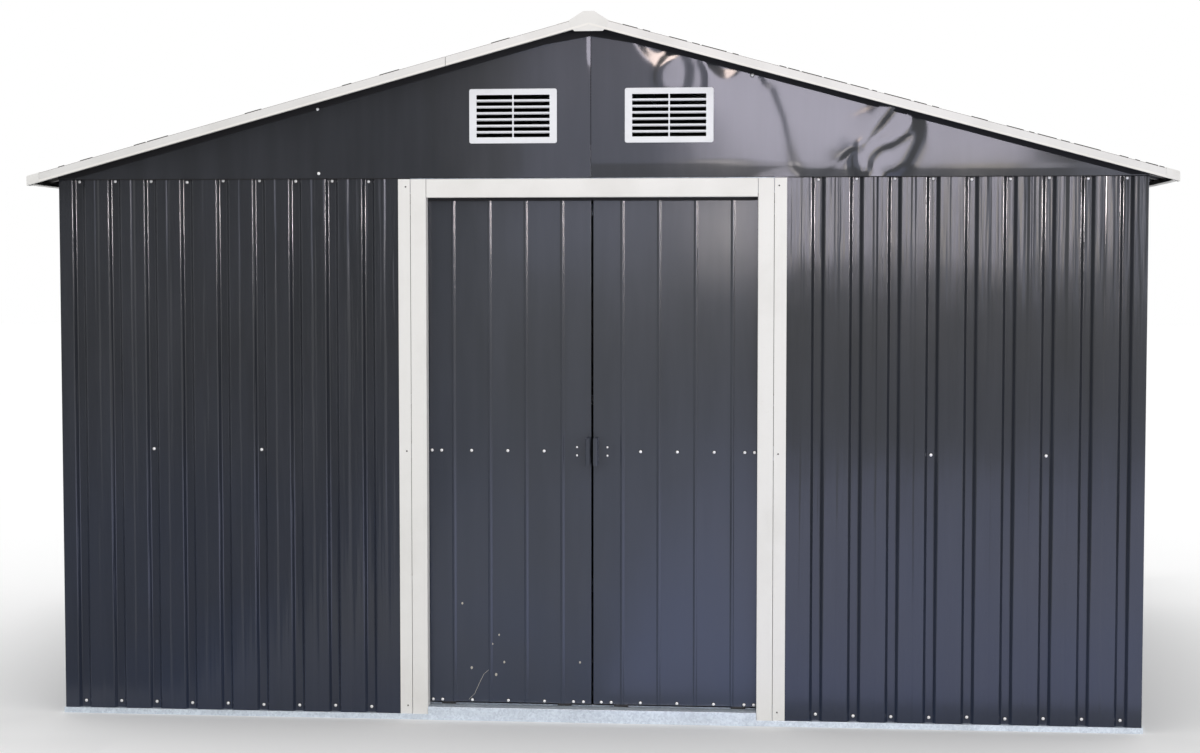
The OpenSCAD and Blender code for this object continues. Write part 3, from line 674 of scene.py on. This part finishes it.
# ---- vents
def vent(x, face_y, facing):
    """A moulded vent: a rounded frame, two columns of slots and a rain blade behind each bar."""
    low, high = VENT_BOX
    half_w, half_bar = VENT_FIELD_W / 2, VENT_BAR / 2
    centres = [(i - (VENT_ROWS - 1) / 2) * VENT_STEP for i in range(VENT_ROWS)]
    levels = [(c - VENT_SLOT_H / 2, c + VENT_SLOT_H / 2) for c in centres]
    bm = bmesh.new()
    bmesh.ops.create_grid(bm, x_segments=1, y_segments=1, size=0.5,
                          matrix=Matrix.Rotation(math.radians(90), 4, "X"))
    bmesh.ops.scale(bm, vec=(VENT_W, 1, high.z - low.z), verts=bm.verts[:])
    for at in (-half_w, -half_bar, half_bar, half_w):
        cut(bm, X * at, X)
    for at in sum(levels, ()):
        cut(bm, Z * at, Z)
    drop_faces(bm, lambda middle, _: half_bar < abs(middle.x) < half_w
               and any(a < middle.z < b for a, b in levels))
    face_out(bm, -Y)
    bmesh.ops.dissolve_limit(bm, angle_limit=0.01, verts=bm.verts[:], edges=bm.edges[:])
    reach = math.hypot(VENT_W, high.z - low.z) / 2 - 0.001
    round_off(bm, [v for v in bm.verts if v.co.length > reach], 0.006, 4, "VERTICES")
    solid(bm, VENT_T)
    soften(bm, 0.0011, 3)
    for foot, _ in levels:
        blade = strip([(-half_w - 0.002, 0.0034, foot - 0.0060),
                       (-half_w - 0.002, 0.0100, foot - 0.0020)],
                      X * (VENT_FIELD_W + 0.004), Z - Y)
        solid(blade, 0.0012)
        joined(bm, blade)
    turn = Matrix.Rotation(math.pi if facing.y > 0 else 0, 4, "Z")
    bm.transform(Matrix.Translation((x, face_y, (low.z + high.z) / 2)) @ turn)
    return bm


def vents():
    low, high = VENT_BOX
    off = high.x - VENT_W / 2
    for name, x, y, facing in (("front_vent_left", -off, low.y, -Y),
                               ("front_vent_right", off, low.y, -Y),
                               ("rear_vent_west", -off, high.y, Y),
                               ("rear_vent_east", off, high.y, Y)):
        to_piece(vent(x, y, facing), name, [VENT_PLASTIC], ["gable_vents"])


# ---- trims
def door_posts():
    """Posts with a face towards the front and a deep return beside the doors."""
    low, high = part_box("right_door_post")
    notch_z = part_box("top_rail_front")[0].z

    def notched(bm):
        cut(bm, Y * RETURN_Y, Y)
        cut(bm, Z * notch_z, Z)
        drop_faces(bm, lambda middle, _: middle.z > notch_z and middle.y > RETURN_Y)

    for side, word in HANDS:
        corners = [(side * x, y, low.z) for x, y in (
            (high.x, RETURN_Y), (high.x, low.y), (low.x, low.y), (low.x, high.y))]
        folded(word + "_door_post_trim", TRIM_PAINT, corners,
               (0, 0, high.z - low.z), -Y, [word + "_door_post"], count=9, seed=11 + side,
               trim=notched)
    inner = high.x + HEADER_GAP
    low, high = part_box("door_post_covers")
    for side, word in HANDS:
        bm = strip([(side * inner, low.y, low.z), (side * high.x, low.y, low.z)],
                   Z * (high.z - low.z), -Y)
        solid(bm, TRIM_T)
        soften(bm, 0.0005)
        to_piece(bm, "door_post_cover_" + word, [TRIM_PAINT],
                 ["door_post_covers"])


def header():
    low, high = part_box("door_header")
    start, length = low.x + HEADER_GAP, high.x - low.x - 2 * HEADER_GAP
    corners = [(start, y, z) for y, z in (
        (RETURN_Y, high.z), (low.y, high.z), (low.y, low.z), (high.y, low.z))]
    folded("door_header_trim", TRIM_PAINT, corners, (length, 0, 0), -Y,
           ["door_header"], seed=14)


def fascias():
    """Gable trims with a rolled hem along the lower edge. The left ones are in two lengths
    that butt with a hair gap between."""
    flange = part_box("front_fascia_right")[1].y
    for end, sign in (("front", 1), ("rear", -1)):
        out_y, in_y = sign * ROOF_Y, sign * flange
        for side, word, part, x0, x1 in (
                (1, "right", "whole", RIDGE_GAP, ROOF_X),
                (-1, "left", "upper", RIDGE_GAP, FASCIA_JOINT),
                (-1, "left", "lower", FASCIA_JOINT + FASCIA_GAP, ROOF_X)):
            run = Vector((side * (x1 - x0), 0, -(x1 - x0) * RISE))
            corners = [roof_point(side * x0, y, lift) for y, lift in (
                (out_y + sign * LIP, -FASCIA_DROP), (out_y, -FASCIA_DROP),
                (out_y, FLANGE_TOP), (in_y, FLANGE_TOP))]
            node = "rear_fascias" if end == "rear" else "front_fascia_" + word
            name = "%s_fascia_%s_%s" % (end, word, part)
            folded(name, TRIM_SOILED, corners, run, -Y * sign, [node],
                   bend=0.0012, seed=20 + side, trim=shaded_top_fold)
            # The rounded hem takes the lighter trim paint: painted highlight
            hem = strip([roof_point(side * x0, out_y - sign * HEM_OUT, lift) for lift in (
                -FASCIA_DROP, HEM_H - FASCIA_DROP)], run, -Y * sign)
            solid(hem, HEM_OUT + 0.0002)
            soften(hem, 0.0005)
            to_piece(hem, name + "_hem", [TRIM_HEM_HIGHLIGHT])


def roof_edge_lines():
    """A broken dark line along the top edge of each gable trim, painting the shade where the roof
    sheets meet it.
    """
    hand = random.Random(12)
    for end, sign in (("front", 1), ("rear", -1)):
        for side, word, shown in ((1, "right", 0.75), (-1, "left", 0.45)):
            bm = bmesh.new()
            x = RIDGE_EDGE
            while x < ROOF_X - CAP_L - 0.012:
                length = min(hand.uniform(0.012, 0.075), ROOF_X - CAP_L - 0.004 - x)
                if hand.random() < shown:
                    y = sign * (ROOF_Y + 0.0006)
                    part = strip([roof_point(side * x, y, FLANGE_TOP - 0.0012),
                                  roof_point(side * x, y, FLANGE_TOP + 0.0016)],
                                 Vector((side * length, 0, -length * RISE)),
                                 -Y * sign)
                    solid(part, 0.0016)
                    joined(bm, part)
                x += length + hand.uniform(0.003, 0.02)
            to_piece(bm, "%s_roof_edge_sealant_%s" % (end, word), [FOAM_AS_SHADOW])


def shaded_top_fold(bm):
    """The narrow faces of the topmost fold take a darker paint: painted shade where the roof sheets
    meet the trim.
    """
    bm.normal_update()
    for face in bm.faces:
        middle = face.calc_center_median()
        over = middle.z > roof_point(middle.x, 0, 0).z
        if over and face.normal.z > 0.25 and 0.25 < abs(face.normal.y) < 0.95:
            face.material_index = 2


def eave_trims():
    low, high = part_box("eave_trim_right")
    for side, word in HANDS:
        corners = [roof_point(side * x, low.y, lift) for x, lift in (
            (ROOF_X - LIP, -FASCIA_DROP), (ROOF_X, -FASCIA_DROP),
            (ROOF_X, FLANGE_TOP), (low.x, FLANGE_TOP))]
        folded("eave_trim_%s_strip" % word, TRIM_PAINT, corners,
               (0, high.y - low.y, 0), X * side, ["eave_trim_" + word], seed=30 + side, count=8)


def ridge():
    """The folded ridge cap and its moulded end plates."""
    low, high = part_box("ridge_cap")
    corners = [roof_point(x, low.y, CAP_LIFT) for x in (low.x, -RIDGE_RAISE)]
    corners += [Vector((x, low.y, high.z)) for x in (-RIDGE_FLAT, RIDGE_FLAT)]
    corners += [roof_point(x, low.y, CAP_LIFT) for x in (RIDGE_RAISE, high.x)]
    folded("ridge_cap_strip", TRIM_PAINT, corners, (0, high.y - low.y, 0), Z,
           ["ridge_cap"], seed=33, count=8)
    low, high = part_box("ridge_end_caps")
    outline = [(0.040, low.z), (0.048, low.z + 0.007),
               (RIDGE_RAISE, roof_point(RIDGE_RAISE, 0, CAP_LIFT).z), (RIDGE_FLAT, high.z)]
    outline += [(-x, z) for x, z in reversed(outline)]
    for facing, y, word in ((-Y, low.y, "front"), (Y, high.y, "rear")):
        bm = bmesh.new()
        bm.faces.new([bm.verts.new((x, y, z)) for x, z in outline])
        face_out(bm, facing)
        bmesh.ops.inset_region(bm, faces=bm.faces[:], thickness=0.006, depth=0)
        bmesh.ops.inset_region(bm, faces=[bm.faces[:][0]], thickness=0.0012, depth=-0.0006)
        solid(bm, TRIM_T)
        soften(bm, 0.0006)
        to_piece(bm, "ridge_end_cap_" + word, [CAP_PLASTIC], ["ridge_end_caps"])


def corner_caps():
    """Moulded caps over the corners where fascia and eave trim meet."""
    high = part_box("eave_corner_caps")[1]
    for sx, hand in reversed(HANDS):
        for sy, end in ((-1, "front"), (1, "rear")):
            middle = (sx * (high.x - CAP_L / 2), sy * (high.y - CAP_L / 2),
                      (CAP_LIFT - FASCIA_DROP) / 2)
            size = (CAP_L, CAP_L, CAP_LIFT + FASCIA_DROP, 1)
            bm = bmesh.new()
            bmesh.ops.create_cube(bm, size=1,
                                  matrix=Matrix.Translation(middle) @ Matrix.Diagonal(size))
            bm.normal_update()
            drop_faces(bm, lambda _, way: min(way.z, way.x * sx, way.y * sy) < -0.5)
            round_off(bm, [e for e in bm.edges if len(e.link_faces) == 2], 0.004, 4)
            lean = Matrix.Identity(4)
            lean[2][0] = -sx * RISE
            lean[2][3] = APEX
            bm.transform(lean)
            solid(bm, TRIM_T)
            to_piece(bm, "eave_corner_cap_%s_%s" % (end, hand), [CAP_PLASTIC],
                     ["eave_corner_caps"])


# ---- doors
def door(side, word):
    """A door: a beaded skin with folded side edges, and its pull."""
    low, high = DOOR
    body = word + "_door"
    step = (high.x - low.x - DOOR_BEAD_FIRST - DOOR_BEAD_LAST) / 3
    plan = [(low.x, high.y), (low.x, DOOR_FACE)]
    for i in range(4):
        plan += pressed(low.x + DOOR_BEAD_FIRST + i * step, DOOR_BEAD_W, DOOR_BEAD_H, DOOR_FACE,
                        low.y)
    plan += [(high.x, DOOR_FACE), (high.x, high.y)]
    corners = [(side * x, y, low.z) for x, y in plan]
    folded(body + "_skin", DOOR_PAINT, corners, (0, 0, high.z - low.z), -Y,
           [body + "_panel"], bend=0.0014, count=14, seed=40 + side, body=body,
           thickness=SHEET_T)
    low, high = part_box("right_door_handle")
    pull = [(high.x, high.y - TRIM_T), (low.x + GRIP_LIP, high.y - TRIM_T),
            (low.x + GRIP_LIP, low.y), (low.x, low.y)]
    corners = [(side * x, y, low.z) for x, y in pull]

    def tapered(bm):
        for sign in (-1, 1):
            point = Vector((side * (low.x + GRIP_LIP + 0.004), 0, MID_Z + sign * 0.040))
            cut(bm, point, Vector((side * 0.40, 0, sign)).normalized(), drop=True)
        round_off(bm, [v for v in bm.verts if len(v.link_edges) == 2], 0.005, 4, "VERTICES")

    folded(body + "_pull", DOOR_PAINT, corners, (0, 0, high.z - low.z), -Y,
           [body + "_handle"], bend=0.002, count=1, seed=44, body=body, trim=tapered)


# ---- screws
def screw_shape(size):
    """A pan-head screw on a sealing washer, facing -Y with its seat at y = 0."""
    bm = bmesh.new()
    outline = [(0, -0.0034), (0.0030, -0.0031), (0.0049, -0.0021), (0.0052, -0.0009),
               (0.0066, -0.0007), (0.0070, 0.0003), (0, 0.0004)]
    verts = [bm.verts.new((x * size, y * size, 0)) for x, y in outline]
    edges = [bm.edges.new(pair) for pair in zip(verts, verts[1:])]
    bmesh.ops.spin(bm, geom=verts + edges, cent=(0, 0, 0), axis=(0, 1, 0), dvec=(0, 0, 0),
                   angle=2 * math.pi, steps=10, use_merge=True, use_duplicate=False)
    bmesh.ops.remove_doubles(bm, verts=bm.verts[:], dist=1e-6)
    bmesh.ops.recalc_face_normals(bm, faces=bm.faces[:])
    for face in bm.faces:
        c = face.calc_center_median()
        face.material_index = int(math.hypot(c.x, c.z) > 0.0055 * size)
    return to_mesh(bm, "screw")


def screws(name, places, body="shed", size=0.88, finishes=(SCREW_ZINC, WASHER_RUBBER)):
    """One piece with a screw at each place; a place is a point and the way it faces."""
    shape = screw_shape(size)
    hand = random.Random(len(name) + len(places))
    bm = bmesh.new()
    for point, facing in places:
        before = len(bm.verts)
        bm.from_mesh(shape)
        bm.verts.ensure_lookup_table()
        tilt = Vector([hand.uniform(-1, 1) for _ in range(3)]) * 0.05
        turn = (-Y).rotation_difference((facing + tilt).normalized()).to_matrix().to_4x4()
        bmesh.ops.transform(bm, verts=bm.verts[before:], matrix=Matrix.Translation(point) @ turn)
    bpy.data.meshes.remove(shape)
    to_piece(bm, name, finishes, body=body)


def wall_screws(walls):
    """Self-drilling screws in the grooves: at the top, at the base rail, and on the mid rail."""
    hand = random.Random(5)
    for (facing, grooves), word, held_by in zip(
            walls, ("front_left", "front_right", "rear", "left", "right"),
            ((2, 5), (3, 6)) + (range(2, len(walls[2][1]), 4),) * 3):
        places = [((foot.x, foot.y, z + hand.uniform(-0.002, 0.002)), facing)
                  for foot in grooves for z in (EAVE_Z - 0.007, 0.033)]
        places += [((grooves[i].x, grooves[i].y, MID_Z), facing)
                   for i in held_by if i < len(grooves)]
        screws("wall_screws_" + word, places)


def roof_screws(roofs):
    """Screws over the eave rails and the purlins, along the ridge cap and on the fascias."""
    for (facing, down, tops), (side, word) in zip(roofs, HANDS):
        places = [(top + down * far, facing) for top in tops for far in ROOF_SCREWS]
        for i in range(9):
            y = ROOF_Y + 0.13 + i * 2 * (-ROOF_Y - 0.13) / 8
            places.append((roof_point(side * 0.074, y, CAP_LIFT), facing))
        for i in range(5):
            for y in (ROOF_Y + 0.020, -ROOF_Y - 0.020):
                places.append((roof_point(side * (0.2 + i * 0.33), y, FLANGE_TOP), facing))
        screws("roof_screws_" + word, places)


def gable_screws():
    # The dents hold the front sheets off the wall, so each screw says how far out it sits
    front = [(-0.789, 1.768, 0.0062), (-0.788, GABLE_SCREW_Z, 0.0016),
             (0.458, 1.855, 0.0062), (0.787, GABLE_SCREW_Z, 0.0012)]
    screws("gable_screws_front", [((x, FRONT_Y - SHEET_T - out, z), -Y) for x, z, out in front])
    rear = [(x, GABLE_SCREW_Z) for x in (-1.3, -0.79, 0.79, 1.3)]
    rear += [(-0.62, 1.80), (0.62, 1.80)]
    screws("gable_screws_rear", [((x, REAR_Y + SHEET_T, z), Y) for x, z in rear])


def door_screws():
    """A row on each door's mid brace and one on its foot, and two small ones in the pull."""
    foot = DOOR[0].z + 0.0055
    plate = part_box("right_door_handle")[1].y - TRIM_T
    marks = [(x, foot) for x in (0.026, 0.055)]
    marks += [(x, z) for x in (0.140, 0.246, 0.352, 0.440, 0.468) for z in (MID_Z, foot)]
    for side, word in HANDS:
        body = word + "_door"
        screws(body + "_screws", [((side * x, DOOR_FACE, z), -Y) for x, z in marks], body, 0.85)
        screws(body + "_pull_screws",
               [((side * 0.044, plate, MID_Z + dz), -Y) for dz in (-0.012, 0.012)], body, 0.6)


def post_screws():
    """Small screws that hold the post covers and posts. Their dark finish paints the shade they sit
    in.
    """
    cover_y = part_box("door_post_covers")[0].y
    screws("door_post_screws", [((x, cover_y, z), -Y) for x in (-0.535, 0.535)
                                for z in (0.040, MID_Z, 1.545)],
           size=0.36, finishes=(SHADED_SCREW, SHADED_SCREW))


# ---- dirt
# Dried splashes: x, height and size. The scratch is a line of x and height.
SPLASHES = ((-0.381, 0.335, 0.0028), (-0.273, 0.244, 0.0024), (-0.293, 0.217, 0.0028),
            (-0.258, 0.164, 0.0030), (-0.354, 0.146, 0.0034), (-0.282, 0.127, 0.0036),
            (-0.036, 0.167, 0.0028), (-0.301, 0.143, 0.0022))
SCRATCH = ((-0.363, 0.052), (-0.345, 0.070), (-0.332, 0.100), (-0.318, 0.128), (-0.301, 0.143))


def splashes():
    """Dried splashes near the foot of the left door, and a thin scratch that runs up to them."""
    bm = bmesh.new()
    for x, z, size in SPLASHES:
        place = Matrix.Translation((x, DOOR_FACE, z)) @ Matrix.Diagonal((1, 0.16, 1.3, 1))
        bmesh.ops.create_icosphere(bm, subdivisions=2, radius=size, matrix=place)
    to_piece(bm, "left_door_splashes", [SPLASH], body="left_door")
    bm = bmesh.new()
    for (x0, z0), (x1, z1) in zip(SCRATCH, SCRATCH[1:]):
        part = strip([(x0 - 0.0006, DOOR_FACE, z0), (x0 + 0.0006, DOOR_FACE, z0)],
                     Vector((x1 - x0, 0, z1 - z0)), -Y)
        solid(part, -0.0001)
        joined(bm, part)
    to_piece(bm, "left_door_scratch", [SPLASH], body="left_door")


# ---- the rest of the CAD frame
def finish_cad_nodes():
    """Rails, beams, tracks and runners keep their CAD shape; their edges are softened."""
    finishes = {"zinc": ZINC, "runner_black": RUNNER_PLASTIC, "trim_white": TRIM_PAINT,
                "cap_white": CAP_PLASTIC, "vent_white": VENT_PLASTIC, "wall_dark": WALL_PAINT,
                "door_dark": DOOR_PAINT, "roof_dark": ROOF_PAINT}
    slots = {p["node"]: p["material_slot"] for p in frame["record"]["subparts"]}
    for name, piece in frame["nodes"].items():
        piece.data.materials.clear()
        piece.data.materials.append(finishes[slots[name]])
        if slots[name] in ("zinc", "runner_black"):
            piece.modifiers.new("weld", "WELD").merge_threshold = 0.00002
            edge = piece.modifiers.new("soft_edges", "BEVEL")
            edge.width = 0.0012 if slots[name] == "runner_black" else 0.0005
            edge.segments = 2
            edge.limit_method = "ANGLE"
            edge.angle_limit = math.radians(40)


finish_cad_nodes()
WALLS = wall_sheets()
ROOFS = roof_sheets()
gables()
closure_and_shadow_strips()
shadow_lines()
vents()
door_posts()
header()
fascias()
roof_edge_lines()
eave_trims()
ridge()
corner_caps()
door(1, "right")
door(-1, "left")
wall_screws(WALLS)
roof_screws(ROOFS)
gable_screws()
door_screws()
post_screws()
splashes()


# ---- floor, light and camera
def softbox(name, x0, x1, z0, z1, strength, colour):
    """An upright lamp that faces the shed's front, seen only in reflections."""
    light = bpy.data.lights.new(name, "AREA")
    light.shape = "RECTANGLE"
    light.size, light.size_y = x1 - x0, z1 - z0
    light.energy = strength * (x1 - x0) * (z1 - z0) * math.pi
    light.color = hex_colour(colour)[:3]
    lamp = bpy.data.objects.new(name, light)
    lamp.location = ((x0 + x1) / 2, LAMP_Y, (z0 + z1) / 2)
    lamp.rotation_euler = Y.to_track_quat("-Z", "Y").to_euler()
    lamp.visible_camera = False
    lamp.visible_diffuse = False
    bpy.context.scene.collection.objects.link(lamp)
    return lamp


def floor_light(name, x0, x1, y0, y1, strength, colour):
    """A lamp that lies on the floor in front of the shed, facing up."""
    lamp = softbox(name, x0, x1, y0, y1, strength, colour)
    lamp.location = ((x0 + x1) / 2, (y0 + y1) / 2, 0.002)
    lamp.rotation_euler = (math.pi, 0, 0)


def card(name, edge, run, facing, colour):
    """A dark studio flag, seen only in reflections."""
    made, tree = new_material(name)[:2]
    finish_material(tree, {"Base Color": colour, "Roughness": 1.0})
    flag = to_object(strip(edge, run, facing), name, [made])
    flag.visible_camera = False
    flag.visible_shadow = False
    flag.visible_diffuse = False


def stage_floor():
    """A pale floor, lifted towards white away from the shed, where only the camera sees it."""
    made, tree, place = new_material("pale_floor")
    shader = add(tree, "BsdfPrincipled", {"Base Color": "#ececec", "Roughness": 0.9})
    aside = add(tree, "VectorMath", {0: place}, operation="ABSOLUTE")
    aside = add(tree, "VectorMath", {0: aside, 1: (SIDE_X, REAR_Y, 0)}, operation="SUBTRACT")
    aside = add(tree, "SeparateXYZ", {"Vector": aside})
    far = add(tree, "Math", {0: aside.outputs["X"], 1: aside.outputs["Y"]}, operation="MAXIMUM")
    far = add(tree, "MapRange", {"Value": far, "From Min": 0.03, "From Max": 0.8, "To Max": 0.18})
    seen = add(tree, "LightPath").outputs["Is Camera Ray"]
    lift = add(tree, "Math", {0: seen, 1: far}, operation="MULTIPLY")
    glow = add(tree, "Emission", {"Strength": lift})
    add(tree, "OutputMaterial", {"Surface": add(tree, "AddShader", {0: shader, 1: glow})})
    bm = bmesh.new()
    bmesh.ops.create_grid(bm, x_segments=1, y_segments=1, size=40)
    to_object(bm, "floor", [made])


def stage_world():
    world = bpy.data.worlds.new("studio")
    bpy.context.scene.world = world
    world.use_nodes = True
    world.node_tree.nodes.clear()
    back = add(world.node_tree, "Background", {"Color": "#ffffff", "Strength": 1.0})
    add(world.node_tree, "OutputWorld", {"Surface": back})


def stage_camera():
    """The camera stands a little right of the middle and looks slightly left and down."""
    made = bpy.data.cameras.new("camera")
    made.sensor_width = 36.0
    made.lens = 61.03
    eye = bpy.data.objects.new("camera", made)
    eye.location = (0.549, -6.974, 1.309)
    eye.rotation_euler = (math.radians(90 - 3.023), 0, math.radians(5.158))
    bpy.context.scene.collection.objects.link(eye)
    bpy.context.scene.camera = eye


stage_floor()
stage_world()
stage_camera()
# Name, left and right, foot and top, strength, colour
for box in (
        ("gable_light", 0.0, 2.2, 2.0, 3.4, 11.4, "#ede8fb"),
        ("seam_light", -1.3, 0.0, 1.36, 3.4, 1.35, "#cdd4ff"),
        ("wall_light_inner", -0.06, 0.38, 1.36, 1.85, 12.2, "#f1e9e8"),
        ("wall_light_first", 0.50, 1.10, 1.36, 1.98, 8.5, "#ece7f8"),
        ("wall_light_second", 1.20, 1.55, 1.36, 1.98, 9.0, "#ece7f8"),
        ("wall_light_third", 1.62, 2.05, 1.36, 1.98, 8.0, "#f8ede4"),
        ("wall_light_fourth", 2.12, 2.38, 1.36, 1.98, 6.0, "#e8e6f4"),
        ("wall_light_far", 2.50, 2.95, 1.10, 2.05, 3.0, "#dde0fa"),
        ("edge_light", 6.5, 10.5, 1.64, 1.97, 150.0, "#fbf0f2"),
        ("top_light", -1.1, 0.45, 3.45, 5.3, 30.0, "#ffe9e0")):
    softbox(*box)
floor_light("low_light", 0.0, 5.0, -8.8, -1.5, 1.4, "#bcc6ff")
card("left_flag", [(-6.5, -9.3, 0.0), (-1.6, -9.3, 0.0)], Z * 3.2, Y, "#a6a6a6")
card("low_flag", [(-6.0, -1.5, 0.004), (-1.3, -1.5, 0.004)], Y * -7.6, Z, "#8a8a8a")
bpy.context.scene.view_settings.view_transform = "Standard"
